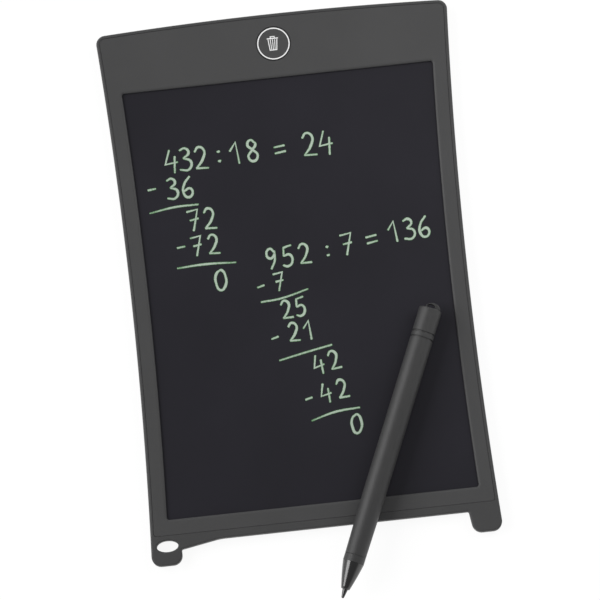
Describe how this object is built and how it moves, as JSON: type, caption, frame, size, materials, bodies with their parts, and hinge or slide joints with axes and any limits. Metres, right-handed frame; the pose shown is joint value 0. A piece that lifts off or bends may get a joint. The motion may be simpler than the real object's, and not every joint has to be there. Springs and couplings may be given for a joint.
{
  "type": "lcd writing tablet",
  "caption": "Thin waisted writing tablet with a pressure-sensitive film, erase button, corner feet, lanyard eyelet and a loose stylus lying on it.",
  "frame": {"origin": "on the back plane, under the middle of the writing window", "axes": "+Z out of the writing face, +Y along the tablet to the erase button, +X to the right as it is read"},
  "size_m": [0.1472, 0.2463, 0.0148],
  "materials": {
    "case_plastic": "fine satin moulding, dark grey",
    "frame_plastic": "fine satin moulding, dark grey",
    "adhesive": "black double-sided tape",
    "writing_film": "smooth film over black, faintly violet, with pale green writing",
    "crystal_layer": "thin dark layer",
    "base_film": "black film",
    "backing_board": "grey sheet",
    "button_plastic": "satin, with a white printed ring and bin pictogram on the button",
    "steel": "plain",
    "black_resin": "matt black",
    "board_resin": "green solder mask",
    "ferrite": "dark sintered block",
    "ceramic": "tan ceramic",
    "contact_metal": "sprung strip",
    "lead_foil": "amber flexible lead",
    "stylus_plastic": "fine matt moulding, dark grey",
    "stylus_gloss": "polished near-black"
  },
  "bodies": {
    "tablet": {"rear_cover": "case_plastic", "front_frame": "frame_plastic", "frame_tape": "adhesive", "window_seal": "adhesive", "writing_film": "writing_film", "liquid_crystal_layer": "crystal_layer", "base_film": "base_film", "backing_board": "backing_board", "circuit_board": "board_resin", "tact_switch_housing": "steel", "board_screw_left": "steel", "board_screw_right": "steel", "driver_chip": "black_resin", "boost_inductor": "ferrite", "capacitor_1": "ceramic", "capacitor_2": "ceramic", "lock_switch_housing": "steel", "coin_cell": "steel", "battery_contact_negative": "contact_metal", "battery_contact_positive": "contact_metal", "film_lead": "lead_foil"},
    "erase_button": {"erase_button_cap": "button_plastic", "tact_switch_plunger": "black_resin"},
    "lock_slider": {"lock_knob": "button_plastic", "lock_switch_lever": "black_resin"},
    "battery_cover": {"battery_door": "case_plastic", "battery_door_screw": "steel"},
    "stylus": {"stylus_nib": "stylus_gloss", "stylus_cone": "stylus_gloss", "stylus_collar": "stylus_plastic", "stylus_barrel": "stylus_plastic", "stylus_end_cap": "stylus_plastic"}
  },
  "joints": [
    {"name": "erase_press", "type": "slide", "parent": "tablet", "child": "erase_button", "axis": [0, 0, -1], "range_m": [0, 0.0003], "stiffness_N_per_m": 1500, "springref_m": -0.0005},
    {"name": "lock_slide", "type": "slide", "parent": "tablet", "child": "lock_slider", "axis": [1, 0, 0], "range_m": [0, 0.002]},
    {"name": "battery_cover_lift", "type": "slide", "parent": "tablet", "child": "battery_cover", "axis": [0, 0, -1], "range_m": [0, 0.02]},
    {"name": "stylus_lift", "type": "slide", "parent": "tablet", "child": "stylus", "axis": [0, 0, 1], "range_m": [0, 0.05]}
  ]
}
